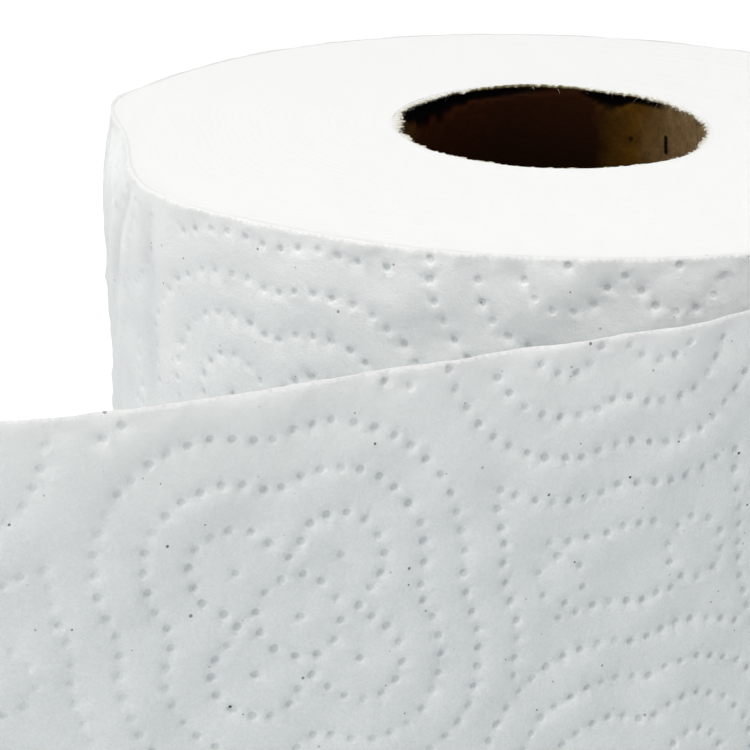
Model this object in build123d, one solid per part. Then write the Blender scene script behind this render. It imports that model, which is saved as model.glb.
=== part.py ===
from build123d import *
import math
import os

# A roll of embossed toilet paper that stands on its end, with its first sheet pulled free.
# The roll's axis is Z and its lower end face lies at Z = 0. All sizes are in millimetres.

# The web of paper
web_width = 100.0
roll_diameter = 116.3
paper_thickness = 0.5

# The cardboard core
core_bore_diameter = 42.0
core_wall = 0.8

# The free sheet leaves the roll at a tangent and keeps some of the roll's curl
leaving_angle = -18.0
near_bend_radius = 115.0
near_bend_length = 80.0
far_bend_radius = 380.0
far_bend_length = 88.0
notch_gap = 0.2

# The free end is torn along its perforation, which leaves a short tab at each tie
tie_spacing = 5.0
tie_width = 1.4
tie_length = 0.8

# The turns show on both end faces as one spiral line
turn_line_spacing = 4.0
turn_line_width = 0.6
turn_line_depth = 0.4

# Sizes that follow
roll_radius = roll_diameter / 2
core_radius = core_bore_diameter / 2 + core_wall
near_bend_angle = math.degrees(near_bend_length / near_bend_radius)
far_bend_angle = math.degrees(far_bend_length / far_bend_radius)


def toward(angle, distance=1.0):
    """The point at this distance from the roll's axis, in the direction of the angle."""
    return Vector(math.cos(math.radians(angle)), math.sin(math.radians(angle))) * distance


# Two half circles make each turn. Their centres lie a quarter of the pitch to each side of
# the axis, so that they meet smoothly and the radius loses one pitch in a full turn.
def half_turn(outer_radius, pitch, index):
    """Centre, radius and first angle of one half turn of a spiral that winds inwards."""
    side = 1 if index % 2 == 0 else -1
    centre = toward(leaving_angle, side * pitch / 4)
    radius = outer_radius - pitch / 4 - index * pitch / 2
    return centre, radius, leaving_angle + 180 * index


# The free sheet's bends. Each has its centre on the line square to the sheet where it starts.
near_centre = toward(leaving_angle, roll_radius - near_bend_radius)
bend_angle = leaving_angle - near_bend_angle
far_centre = near_centre + toward(bend_angle, near_bend_radius - far_bend_radius)
end_angle = bend_angle - far_bend_angle

# The notch where the free sheet lifts off the turn below is closed where it is this narrow
upper_half, upper_radius, upper_start = half_turn(roll_radius, paper_thickness, 0)
lower_half, lower_radius, lower_start = half_turn(roll_radius, paper_thickness, 1)
notch_reach = near_bend_radius - paper_thickness - notch_gap
centre_gap = (lower_half - near_centre).length
notch_cosine = (notch_reach**2 + centre_gap**2 - lower_radius**2) / (2 * notch_reach * centre_gap)
notch_angle = leaving_angle - math.degrees(math.acos(notch_cosine))
notch_low = near_centre + toward(notch_angle, notch_reach)
notch_high = near_centre + toward(notch_angle, notch_reach + notch_gap)
from_lower = notch_low - lower_half
lower_end = 360 + math.degrees(math.atan2(from_lower.Y, from_lower.X))


def paper_outline():
    """The web seen along the axis: the outermost turn, which runs on into the free sheet."""
    near_inside = near_bend_radius - paper_thickness
    far_inside = far_bend_radius - paper_thickness
    outer_end = far_centre + toward(end_angle, far_bend_radius)
    inner_end = far_centre + toward(end_angle, far_inside)
    edges = [
        CenterArc(upper_half, upper_radius, upper_start, 180),
        CenterArc(lower_half, lower_radius, lower_start, lower_end - lower_start),
        Line(notch_low, notch_high),
        CenterArc(near_centre, near_inside, notch_angle, bend_angle - notch_angle),
        CenterArc(far_centre, far_inside, bend_angle, -far_bend_angle),
        Line(inner_end, outer_end),
        CenterArc(far_centre, far_bend_radius, end_angle, far_bend_angle),
        CenterArc(near_centre, near_bend_radius, bend_angle, near_bend_angle),
    ]
    return make_face(edges)


def line_groove(radius, sweep_angle, face_height, inward):
    """A length of the V-shaped turn line, swept round Z in the end face at this height."""
    above = turn_line_width
    section = Polyline(
        (radius, face_height + inward * turn_line_depth),
        (radius + above, face_height - inward * turn_line_depth),
        (radius - above, face_height - inward * turn_line_depth),
        close=True,
    )
    return revolve(Plane.XZ * make_face(section), Axis.Z, sweep_angle)


def turn_lines(face_height, inward):
    """The spiral turn line of one end face, from the notch to the turn next to the core."""
    first_radius = roll_radius - paper_thickness
    room = first_radius - core_radius - turn_line_width
    halves = int(room / (turn_line_spacing / 2))
    lead_in = leaving_angle - notch_angle
    lead_radius = near_bend_radius - paper_thickness
    lead = line_groove(lead_radius, lead_in, face_height, inward)
    cutters = [Pos(*near_centre) * Rot(0, 0, notch_angle) * lead]
    for index in range(halves):
        centre, radius, start = half_turn(first_radius, turn_line_spacing, index)
        half = line_groove(radius, 180, face_height, inward)
        cutters.append(Pos(*centre) * Rot(0, 0, start) * half)
    return cutters


def torn_gaps():
    """What is missing between the ties along the torn end of the free sheet."""
    end_middle = far_centre + toward(end_angle, far_bend_radius - paper_thickness / 2)
    end_plane = Plane(
        origin=(end_middle.X, end_middle.Y, web_width / 2),
        x_dir=toward(end_angle - 90),
        z_dir=toward(end_angle),
    )
    ties = int(web_width / tie_spacing)
    gaps = Sketch()
    for index in range(ties + 1):
        height = (index - ties / 2) * tie_spacing
        gaps += Pos(0, height) * Rectangle(2 * tie_length, tie_spacing - tie_width)
    return extrude(end_plane * gaps, paper_thickness, both=True)


def make_paper():
    """The whole web as one solid: the wound turns, their end faces and the free sheet."""
    paper = extrude(paper_outline(), web_width)
    paper -= Cylinder(core_radius, web_width, align=(Align.CENTER, Align.CENTER, Align.MIN))
    for face_height, inward in ((web_width, -1), (0, 1)):
        cutters = turn_lines(face_height, inward)
        paper -= cutters[0::2]
        paper -= cutters[1::2]
    return paper - torn_gaps()


def make_core():
    """The cardboard tube that the web is wound on, cut to the same length."""
    wall = Circle(core_radius) - Circle(core_bore_diameter / 2)
    return extrude(wall, web_width)


os.makedirs("parts", exist_ok=True)
nodes = {"paper": make_paper(), "core": make_core()}
for node, shape in nodes.items():
    shape.label = node
    export_step(shape, f"parts/{node}.step")
    print(node, "solids", len(shape.solids()), "volume", round(shape.volume), "mm3")
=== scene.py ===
# %% [markdown]
# A roll of embossed toilet paper stands on its end, with its first sheet pulled free.
# The real thing is one web of soft tissue, pressed with rows of small pits, and wound on a
# tube of grey-brown board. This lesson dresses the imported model: it sets up the camera and
# the light, presses the pits into thin sheets that follow the web's own curve, winds the
# turns that show on both ends, and finishes the board tube with its ragged cut edge.
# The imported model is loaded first, because every piece is placed by it.

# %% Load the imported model
import math

import bpy
import numpy as np
from mathutils import Matrix, Vector
from mathutils.geometry import delaunay_2d_cdt


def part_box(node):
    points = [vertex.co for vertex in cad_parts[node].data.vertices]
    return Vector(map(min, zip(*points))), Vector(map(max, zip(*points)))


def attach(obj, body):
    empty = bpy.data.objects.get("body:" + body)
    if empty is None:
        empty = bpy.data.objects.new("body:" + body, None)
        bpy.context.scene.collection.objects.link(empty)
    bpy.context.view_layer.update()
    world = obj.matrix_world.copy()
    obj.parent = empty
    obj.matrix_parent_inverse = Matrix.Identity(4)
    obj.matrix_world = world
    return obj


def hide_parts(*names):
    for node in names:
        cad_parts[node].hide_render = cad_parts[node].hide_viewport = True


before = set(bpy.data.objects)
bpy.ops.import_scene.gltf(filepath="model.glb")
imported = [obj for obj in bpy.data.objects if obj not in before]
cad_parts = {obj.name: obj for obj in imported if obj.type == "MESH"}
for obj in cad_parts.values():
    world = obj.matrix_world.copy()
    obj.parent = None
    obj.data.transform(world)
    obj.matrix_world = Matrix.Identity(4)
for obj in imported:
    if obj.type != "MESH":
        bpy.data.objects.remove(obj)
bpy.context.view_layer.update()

MM = 0.001

# %% [markdown]
# The camera stands close to the roll, a little above its upper end, and looks down at it.
# A camera's own axes are X to the right, Y up and -Z forward, so one turn about Z, one
# about X and a small roll about its line of sight aim it. The focal length was worked out
# in pixels of the square picture, and a lens length is that share of the sensor's width.

# %% Camera
CAMERA_PLACE = Vector((0, -252.53, 162.96)) * MM
CAMERA_TURN = math.radians(5.12)
CAMERA_TILT = math.radians(90 - 21.43)
CAMERA_ROLL = math.radians(0.814)
FOCAL_LENGTH_PIXELS = 1961.4
PICTURE_PIXELS = 750
NEAREST_SEEN = 10 * MM

camera_data = bpy.data.cameras.new("camera")
camera_data.lens = camera_data.sensor_width * FOCAL_LENGTH_PIXELS / PICTURE_PIXELS
camera_data.clip_start = NEAREST_SEEN
camera = bpy.data.objects.new("camera", camera_data)
bpy.context.scene.collection.objects.link(camera)
aim = Matrix.Rotation(CAMERA_TURN, 4, "Z") @ Matrix.Rotation(CAMERA_TILT, 4, "X")
camera.matrix_world = Matrix.Translation(CAMERA_PLACE) @ aim @ Matrix.Rotation(CAMERA_ROLL, 4, "Z")
bpy.context.scene.camera = camera
bpy.context.scene.view_settings.view_transform = "Standard"
print("lens", round(camera_data.lens, 2), "mm")

# %% [markdown]
# The roll stands on a plain white floor in soft light. The world lights it evenly from all
# round. The strongest of four wide lamps hangs overhead. One in front of it gives each pit a
# shaded upper side and a bright lower edge, and two stand at the left, and brighten the left
# of the wall, which the free sheet doesn't shade.
# The background is white because the world shows as white to the camera, and because the
# floor adds a little white of its own there. That glow is for the camera alone, so it
# lights nothing, and the roll's soft shadow still shows on the floor.

# %% Helpers for shader nodes
def node(tree, kind, inputs=None, **settings):
    """Add a node, set its properties, then its inputs: a value, or a socket to link from."""
    made = tree.nodes.new(kind)
    for name, value in settings.items():
        setattr(made, name, value)
    for name, value in (inputs or {}).items():
        if isinstance(value, bpy.types.NodeSocket):
            tree.links.new(value, made.inputs[name])
        else:
            made.inputs[name].default_value = value
    return made


def math_node(tree, operation, first, second=0.0, third=0.0):
    """One step of arithmetic, and its result."""
    return node(tree, "ShaderNodeMath", {0: first, 1: second, 2: third}, operation=operation).outputs[0]


def seen_directly(tree):
    """1 on rays that show the background itself: from the camera, in gloss or through glass."""
    path = node(tree, "ShaderNodeLightPath").outputs
    either = math_node(tree, "MAXIMUM", path["Is Camera Ray"], path["Is Glossy Ray"])
    return math_node(tree, "MAXIMUM", either, path["Is Transmission Ray"])


# %% World, lamps and floor
WORLD_COLOUR = (0.66, 0.83, 0.90, 1.0)
WORLD_STRENGTH = 0.28
FLOOR_COLOUR = (0.80, 0.80, 0.80, 1.0)
FLOOR_GLOW = 0.50
FLOOR_SIZE = 14.0
FLOOR_GAP = 0.05 * MM
LAMPS = (
    # name, place, size, watts, colour
    ("overhead", (0.05, -0.15, 1.40), 0.80, 9.3, (1.0, 0.98, 0.96)),
    ("over_front", (0.15, -0.75, 1.20), 0.80, 4.4, (1.0, 0.96, 0.88)),
    ("low_left", (-0.80, -1.10, 0.28), 0.70, 3.6, (1.0, 1.0, 1.0)),
    ("side", (-1.20, -0.20, 0.90), 0.80, 5.0, (1.0, 0.96, 0.90)),
)
LAMP_AIM = Vector((0, 0, 0.06))

world = bpy.data.worlds.new("white_room")
world.use_nodes = True
bpy.context.scene.world = world
tree = world.node_tree
tree.nodes.clear()
room = node(tree, "ShaderNodeBackground", {"Color": WORLD_COLOUR, "Strength": WORLD_STRENGTH})
white = node(tree, "ShaderNodeBackground", {"Color": (1, 1, 1, 1), "Strength": 1.0})
choice = node(
    tree, "ShaderNodeMixShader", {0: seen_directly(tree), 1: room.outputs[0], 2: white.outputs[0]})
node(tree, "ShaderNodeOutputWorld", {"Surface": choice.outputs[0]})

bpy.ops.object.select_all(action="DESELECT")
bpy.ops.mesh.primitive_plane_add(size=FLOOR_SIZE, location=(0, 0, -FLOOR_GAP))
floor = bpy.context.object
floor.name = "floor"
floor_paint = bpy.data.materials.new("floor_white")
floor_paint.use_nodes = True
tree = floor_paint.node_tree
tree.nodes.clear()
matt = node(tree, "ShaderNodeBsdfDiffuse", {"Color": FLOOR_COLOUR})
glow_share = math_node(tree, "MULTIPLY", seen_directly(tree), FLOOR_GLOW)
glow = node(tree, "ShaderNodeEmission", {"Color": (1, 1, 1, 1), "Strength": glow_share})
both = node(tree, "ShaderNodeAddShader", {0: matt.outputs[0], 1: glow.outputs[0]})
node(tree, "ShaderNodeOutputMaterial", {"Surface": both.outputs[0]})
floor.data.materials.append(floor_paint)

for name, place, size, watts, colour in LAMPS:
    lamp_data = bpy.data.lights.new(name, "AREA")
    lamp_data.energy = watts
    lamp_data.size = size
    lamp_data.color = colour
    lamp = bpy.data.objects.new(name, lamp_data)
    bpy.context.scene.collection.objects.link(lamp)
    lamp.location = place
    lamp.rotation_euler = (LAMP_AIM - lamp.location).to_track_quat("-Z", "Y").to_euler()
print("stage ready with", len(LAMPS), "lamps")

# %% [markdown]
# Seen from above, the web is one long curve. It is wound as a spiral that loses one paper
# thickness each turn, leaves the roll at a tangent, and then opens out in two gentle bends.
# Everything on the paper is drawn flat first, with two numbers: the arc length along the
# web, and the depth below its upper edge. The next functions turn those into places in
# space. Flat work is done in millimetres, and made metres when a mesh is made.

# %% The web's curve
WEB_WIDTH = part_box("paper")[1][2] / MM
ROLL_RADIUS = 58.15
THICKNESS = 0.5
LEAVING_ANGLE = math.radians(-18)
NEAR_RADIUS = 115.0
NEAR_LENGTH = 80.0
FAR_RADIUS = 380.0
WEB_END = 168.0


def direction(angle):
    """Unit steps towards these angles, in radians."""
    return np.stack([np.cos(angle), np.sin(angle)], -1)


def web_plan(arc):
    """Plan places of the web's outer face at these arc lengths, and the way it faces there."""
    place = np.zeros(arc.shape + (2,))
    faces = np.zeros(arc.shape + (2,))
    leaving = direction(np.array(LEAVING_ANGLE))
    begun = 0.0
    for half in range(4):
        side = 1 if half % 2 == 0 else -1
        radius = ROLL_RADIUS - THICKNESS / 4 - half * THICKNESS / 2
        here = (arc <= -begun) & (arc > -begun - math.pi * radius)
        angle = LEAVING_ANGLE + math.pi * half + (-arc[here] - begun) / radius
        place[here] = side * THICKNESS / 4 * leaving + radius * direction(angle)
        faces[here] = direction(angle)
        begun += math.pi * radius
    near_centre = (ROLL_RADIUS - NEAR_RADIUS) * leaving
    bend_angle = LEAVING_ANGLE - NEAR_LENGTH / NEAR_RADIUS
    far_centre = near_centre + (NEAR_RADIUS - FAR_RADIUS) * direction(np.array(bend_angle))
    near = (arc > 0) & (arc <= NEAR_LENGTH)
    angle = LEAVING_ANGLE - arc[near] / NEAR_RADIUS
    place[near] = near_centre + NEAR_RADIUS * direction(angle)
    faces[near] = direction(angle)
    far = arc > NEAR_LENGTH
    angle = bend_angle - (arc[far] - NEAR_LENGTH) / FAR_RADIUS
    place[far] = far_centre + FAR_RADIUS * direction(angle)
    faces[far] = direction(angle)
    return place, faces


end_place, _ = web_plan(np.array([WEB_END]))
print("the free end lies at", end_place.round(2), "mm")

# %% [markdown]
# A real roll isn't quite round. Its upper end was pressed, which left a soft corner with a
# dent beside it, the hole was pulled a little long, and the edges of the turns are rounded
# where they meet the end faces. These are smooth bumps by angle that fade with distance,
# and each is used by every piece that it touches, so that the pieces still meet.

# %% The roll's soft shape
CORE_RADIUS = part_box("core")[1][0] / MM
RIM = 0.14
SHOULDER = 0.6
SHOULDER_REACH = 3.2
WALL_OUT = 0.4
# Bumps of the wall and the hole: height in mm, then middle and spread in degrees
CORNER = (1.95, 222.5, 12.5)
DENT = (2.15, 196, 13.7)
SWELL_LEFT = (1.85, 175.5, 10.5)
LEAN_LEFT = (0.4, 192, 25)
FLAT_FRONT = (0.45, 280, 22)
HOLE_PULLS = ((0.85, 98, 22), (0.9, 52, 14), (0.5, 320, 16))
# How deep they reach, in mm, and the corner's slant in degrees for each mm
CORNER_REACH = 13
CORNER_SLANT = 0.6
CORNER_SLANT_END = 14
DENT_REACH = 4.0
SWELL_REACH = 12
LEAN_RISE = (5, 35)
FRONT_REACH = 15
HOLE_REACH = 9
HOLE_NARROWER = 0.35
HOLE_LONGER = 0.65


def bump(values, middle, spread):
    """A smooth bump of height 1."""
    return np.exp(-(((values - middle) / spread) ** 2))


def ramp(values, low, high):
    """0 up to low and 1 from high, with a smooth rise between. low may be the larger."""
    share = np.clip((values - low) / (high - low), 0, 1)
    return share * share * (3 - 2 * share)


def ripple(across, along, wavelength, seed):
    """A gentle unevenness about 1 high, from waves of many directions."""
    draw = np.random.default_rng(seed)
    total = 0
    waves = 14
    for turn, phase, size in draw.random((waves, 3)):
        pace = 2 * math.pi / (wavelength * (0.7 + 0.7 * size))
        way = 2 * math.pi * turn
        total = total + np.sin(pace * (across * math.cos(way) + along * math.sin(way)) + 6.3 * phase)
    return total / math.sqrt(waves / 2)


def bulge(degrees, height, middle, spread):
    """A bump of this height round the roll."""
    return height * bump(degrees, middle, spread)


def fading(depth, reach, stays=0.0):
    """1 at the upper end, which falls with depth to the share that stays."""
    return stays + (1 - stays) * np.exp(-depth / reach)


def from_ends(depth):
    """How far a depth or a height lies from the nearer end of the roll."""
    return np.minimum(depth, WEB_WIDTH - depth)


def out_of_round(degrees, depth):
    """How far the roll's wall stands out, by angle and by depth below the upper end."""
    slanted = degrees + CORNER_SLANT * np.minimum(depth, CORNER_SLANT_END)
    corner = bulge(slanted, *CORNER) * fading(depth, CORNER_REACH, 0.12)
    dent = bulge(degrees, *DENT) * np.exp(-((depth / DENT_REACH) ** 2))
    swell = bulge(degrees, *SWELL_LEFT) * fading(depth, SWELL_REACH)
    lean = bulge(degrees, *LEAN_LEFT) * ramp(depth, *LEAN_RISE)
    front = bulge(degrees, *FLAT_FRONT) * fading(depth, FRONT_REACH, 0.2)
    return WALL_OUT + corner - dent + swell - lean - front


def hole_out_of_round(degrees, depth):
    """How far the hole's edge stands out, which fades down the tube."""
    longer = -HOLE_NARROWER - HOLE_LONGER * np.cos(2 * np.radians(degrees))
    pulls = sum(bulge(degrees, *pull) for pull in HOLE_PULLS)
    return (longer + pulls) * fading(depth, HOLE_REACH)


def shoulder(depth):
    """How far the wall draws in over the last few millimetres before either end."""
    return SHOULDER * np.exp(-from_ends(depth) / SHOULDER_REACH)


def rim_inset(depth):
    """How far the rounded edge of the wall draws in, by depth from the nearer end."""
    left = np.clip((RIM - from_ends(depth)) / RIM, 0, 1)
    return RIM * (1 - np.sqrt(1 - left * left))


FREE_AT, WOUND_AT = 26, -4
FREE_WAVE = 0.4
FREE_WAVE_LENGTH = 42
CREASES = (
    # arc length at the top, slant, width, height, depth where it ends
    (-237.0, 0.44, 0.8, 0.46, 30),
    (-234.3, 0.55, 1.5, -0.50, 34),
    (-229.5, 0.35, 1.1, 0.34, 50),
    (-240.6, 0.10, 1.8, -0.40, 55),
    (-244.6, 0.06, 2.0, 0.24, 40),
)


def wound(arc):
    """1 on the roll and 0 where the sheet is free."""
    return ramp(arc, FREE_AT, WOUND_AT)


def creases(arc, depth):
    """The long soft creases in the wall below the pressed corner."""
    total = 0
    for top, slant, width, height, ends in CREASES:
        fade = ramp(depth, 0.5, 4) * ramp(depth, ends, ends * 0.3)
        total = total + height * bump(arc, top + slant * depth, width) * fade
    return total


def lay(arc, depth, lift):
    """Places in space, in metres, of points on the web. lift is above its outer face."""
    place, faces = web_plan(arc)
    degrees = np.degrees(np.arctan2(place[:, 1], place[:, 0])) % 360
    held = wound(arc)
    soft = out_of_round(degrees, depth) + creases(arc, depth) - shoulder(depth) - rim_inset(depth)
    out = lift + held * soft
    wave = (1 - held) * FREE_WAVE * ripple(arc, depth * 0.6, FREE_WAVE_LENGTH, 11)
    flat = place + faces * (out + wave)[:, None]
    return np.column_stack([flat, WEB_WIDTH - depth]) * MM


print("rim rounded by", RIM, "mm; core", CORE_RADIUS, "mm in radius")

# %% [markdown]
# The tissue is pressed with a traditional quilt of flowers. A flower has a ring of pits
# round its middle one, and four lobes with a single pit in each. Nested outlines go round
# the lobes as rows of pits, one wherever the distance to the nearest lobe is a whole number
# of ring gaps. Flowers repeat in columns, and every other column is dropped by half. A small
# ring and a star fill the space between two flowers of one column. The web is pulled tighter
# on the roll, so the pattern there is a little larger, and where it hangs free the pattern
# leans a little along it. All of this is laid out in ring gaps, and then put on the web.

# %% Where the pits are
RING_GAP = 4.43
PIT_STEP = 0.475
COLUMN_STEP = 8.05
ROW_STEP = 14.2
FIRST_ROW = (5.1, -1.53)
FLOWER_ARC = 111.2
STRETCH = 0.106
STRETCH_FROM = -13.0
STRETCH_TO = -200.0
STRETCH_DROP = 2.35
FREE_FROM = 30.0
FREE_TO = 60.0
FREE_SQUASH = 0.932
FREE_SHIFT = 0.20
FREE_COLUMN = -1
LEAN = 0.174
LEAN_DEPTH = 22.6
WEB_START = -385.0
RINGS = 5
LOBE = 1.22
HEART_RING = (0.97, 12)
HEART_CLEAR = 1.55
NOTCH = 1.42
FILL_RING = (-1.74, 0.79, 10)
FILL_STAR = (1.90, 0.58, 6)
FILL_CLEAR = 0.34
ARC_STEP = 0.5
ARC_SPARE = 20

arc_line = np.arange(WEB_START - ARC_SPARE, WEB_END + ARC_SPARE, ARC_STEP)
stretch_share = np.clip((STRETCH_FROM - arc_line) / (STRETCH_FROM - STRETCH_TO), 0, 1)
stretch_line = 1 + STRETCH * stretch_share
pace_line = ARC_STEP / ((stretch_line[1:] + stretch_line[:-1]) / 2)
pattern_line = np.concatenate([[0], np.cumsum(pace_line)])
pattern_line = (pattern_line - np.interp(FLOWER_ARC, arc_line, pattern_line)) / RING_GAP


def leaning(arc, depth):
    """How far the pattern on the free sheet leans along the web at this depth."""
    return LEAN * ramp(arc, FREE_FROM, FREE_TO) * (depth - LEAN_DEPTH)


def to_pattern(arc, depth):
    """From the flat web to the pattern, whose unit is one ring gap."""
    arc = arc + leaning(arc, depth)
    stretch = np.interp(arc, arc_line, stretch_line)
    drop = STRETCH_DROP * np.interp(arc, arc_line, stretch_share)
    return np.interp(arc, arc_line, pattern_line), (depth - drop) / stretch / RING_GAP


def to_web(along, down):
    """From the pattern to the flat web."""
    arc = np.interp(along, pattern_line, arc_line)
    drop = STRETCH_DROP * np.interp(arc, arc_line, stretch_share)
    depth = down * RING_GAP * np.interp(arc, arc_line, stretch_line) + drop
    return arc - leaning(arc, depth), depth


first_column = math.floor(pattern_line[0] / COLUMN_STEP)
last_column = math.ceil(pattern_line[-1] / COLUMN_STEP)
flowers = []
for column in range(first_column, last_column + 1):
    free = column >= FREE_COLUMN
    for row in range(-1, 3):
        along = column * COLUMN_STEP + (FREE_SHIFT if free else 0)
        down = FIRST_ROW[column % 2] + row * ROW_STEP
        flowers.append((along, down, FREE_SQUASH if free else 1))
lobes = []
for along, down, squash in flowers:
    for side in (-LOBE * squash, LOBE * squash):
        for drop in (-LOBE, LOBE):
            lobes.append((along + side, down + drop, squash, along, down))


def lobe_distance(along, down):
    """Distance to the nearest lobe of any flower, in ring gaps."""
    nearest = np.full(along.shape, 99.0)
    for lobe_along, lobe_down, squash, _, _ in lobes:
        nearest = np.minimum(nearest, np.hypot((along - lobe_along) / squash, down - lobe_down))
    return nearest


def on_circle(along, down, radius, angle, squash=1):
    """Places on a circle at these angles."""
    return np.column_stack([along + squash * radius * np.cos(angle), down + radius * np.sin(angle)])


def ring_of(along, down, radius, count, squash=1):
    """Evenly spaced places on a circle."""
    return on_circle(along, down, radius, 2 * math.pi * (np.arange(count) + 0.5) / count, squash)


def arcs_of(lobe, ring):
    """Evenly spaced places on the arcs of a lobe's ring that nothing else claims."""
    along, down, squash, heart_along, heart_down = lobe
    steps = 90 * ring
    angle = 2 * math.pi * np.arange(steps) / steps
    places = on_circle(along, down, ring, angle, squash)
    own = lobe_distance(places[:, 0], places[:, 1]) > ring - 1e-6
    own &= np.hypot((places[:, 0] - heart_along) / squash, places[:, 1] - heart_down) > HEART_CLEAR
    starts = np.flatnonzero(own & ~np.roll(own, 1))
    found = [np.zeros((0, 2))]
    for start in starts:
        length = np.argmin(np.roll(own, -start))
        count = max(1, round(length / steps * 2 * math.pi * ring / PIT_STEP))
        share = (np.arange(count) + 0.5) / count * length
        found.append(on_circle(along, down, ring, 2 * math.pi * (start + share) / steps, squash))
    return np.concatenate(found)


fillers, wanted = [], []
for along, down, squash in flowers:
    for shift, radius, count in (FILL_RING, FILL_STAR):
        fillers.append((along + shift, down + ROW_STEP / 2, radius, count))
    wanted.append(np.array([(along, down)]))
    wanted.append(ring_of(along, down, *HEART_RING, squash))
    wanted.append(on_circle(along, down, NOTCH, np.arange(4) * math.pi / 2, squash))
wanted += [ring_of(*filler) for filler in fillers]
wanted.append(np.array([lobe[:2] for lobe in lobes]))
for lobe in lobes:
    for ring in range(1, RINGS + 1):
        places = arcs_of(lobe, ring)
        for fill_along, fill_down, radius, _ in fillers:
            apart = np.hypot(places[:, 0] - fill_along, places[:, 1] - fill_down)
            places = places[apart > radius + FILL_CLEAR]
        wanted.append(places)
wanted = np.concatenate(wanted)
inside = (wanted[:, 0] > pattern_line[0]) & (wanted[:, 0] < pattern_line[-1])
inside &= (wanted[:, 1] > -0.5) & (wanted[:, 1] < WEB_WIDTH / RING_GAP + 0.5)
wanted = wanted[inside]
pits = np.zeros((0, 2))
for place in wanted:
    if len(pits) == 0 or np.min(np.sum((pits - place) ** 2, 1)) > (0.8 * PIT_STEP) ** 2:
        pits = np.vstack([pits, place])
pit_arc, pit_depth = to_web(pits[:, 0], pits[:, 1])
print(len(pit_arc), "pits on the whole length that shows")

# %% [markdown]
# Each pit is a small round dish. A mesh that follows it needs points in rings round its
# middle, and a plain grid of points elsewhere. The points are joined flat into triangles
# that are as even as can be, and each is then lifted or sunk. Between the rows the tissue
# swells softly, because pressing the rows pulls it down there. The machine doesn't press
# every pit alike, so their size and depth differ, the lower edge stands up a little, and
# some have a torn or puckered edge.

# %% Points of a flat sheet
PIT_RADIUS = 0.52
PIT_SINK = 0.29
PIT_PROFILE = ((1.16, 0.0), (0.88, 0.42), (0.62, 1.0))
PIT_SIDES = 10
PIT_LIP = 0.07
BACK_PROFILE = ((1.15, 0.0), (0.66, 0.95))
BACK_SIDES = 8
PIT_SHAKE = 0.06
PIT_SIZES = (0.9, 1.1)
PIT_DEPTHS = (0.7, 1.15)
TORN_SHARE = 0.09
# Where pits are fainter: how much, then where along the web
FAINTER_FREE = 0.4
FAINTER_FREE_RISE = (118, 138)
FAINTER_WOUND = (0.72, -224, 22)
EDGE_ROWS = (0.06, 0.18, 0.40, 0.75, 1.15)
EDGE_ROW_STEP = 0.8
GRID = 1.18
GRID_SHAKE = 0.28
SEAM_STEP = 0.25
EDGE_STEP = 0.6
PIT_CLEAR = 0.78
BATCH = 2000
SWELL = 0.16
TIE_SPACING = 5.0
TIE_WIDTH = 1.4
TIE_SOFT = 0.12
SLIT = 0.11
TAB = 0.8


def tie_share(depth):
    """1 where a perforation still holds or has left a tab, 0 in its slits."""
    across = np.abs(((depth - WEB_WIDTH / 2) / TIE_SPACING) % 1 - 0.5) * TIE_SPACING
    return ramp(across, TIE_WIDTH / 2 + TIE_SOFT, TIE_WIDTH / 2 - TIE_SOFT)


def border(first, last):
    """The flat sheet's border, counter-clockwise with the arc length to the right."""
    seam = np.linspace(0, WEB_WIDTH, round(WEB_WIDTH / SEAM_STEP) + 1)
    edge = np.linspace(first, last, round((last - first) / EDGE_STEP) + 1)
    upper = np.column_stack([edge[:-1], np.zeros(len(edge) - 1)])
    right = np.column_stack([np.full(len(seam) - 1, last), seam[:-1]])
    lower = np.column_stack([edge[:0:-1], np.full(len(edge) - 1, WEB_WIDTH)])
    left = np.column_stack([np.full(len(seam) - 1, first), seam[:0:-1]])
    return np.concatenate([upper, right, lower, left])


def inner_points(first, last, draw):
    """A shaken grid, and rows along both edges of the web for their rounding."""
    columns = np.arange(first + 0.8, last - 0.7, GRID)
    rows = np.arange(EDGE_ROWS[-1] + 0.7, WEB_WIDTH - EDGE_ROWS[-1] - 0.6, GRID)
    grid = np.stack(np.meshgrid(columns, rows), -1).reshape(-1, 2)
    grid += draw.uniform(-GRID_SHAKE, GRID_SHAKE, grid.shape)
    edge = np.arange(first + 0.5, last - 0.4, EDGE_ROW_STEP)
    strips = [grid]
    for row in EDGE_ROWS:
        strips.append(np.column_stack([edge, np.full(len(edge), row)]))
        strips.append(np.column_stack([edge, np.full(len(edge), WEB_WIDTH - row)]))
    return np.concatenate(strips)


def choose_pits(first, last, draw):
    """Each pit on this sheet: its middle, radius, depth, and whether its edge is torn."""
    margin = PIT_RADIUS * 1.3
    here = (pit_arc > first + margin) & (pit_arc < last - margin)
    here &= (pit_depth > margin) & (pit_depth < WEB_WIDTH - margin)
    middles = np.column_stack([pit_arc[here], pit_depth[here]])
    middles += draw.normal(0, PIT_SHAKE, middles.shape)
    count = len(middles)
    radius = PIT_RADIUS * draw.uniform(*PIT_SIZES, count)
    sink = PIT_SINK * draw.uniform(*PIT_DEPTHS, count)
    sink *= 1 - FAINTER_FREE * ramp(middles[:, 0], *FAINTER_FREE_RISE)
    sink *= 1 - bulge(middles[:, 0], *FAINTER_WOUND)
    return middles, radius, sink, draw.random(count) < TORN_SHARE


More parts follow.
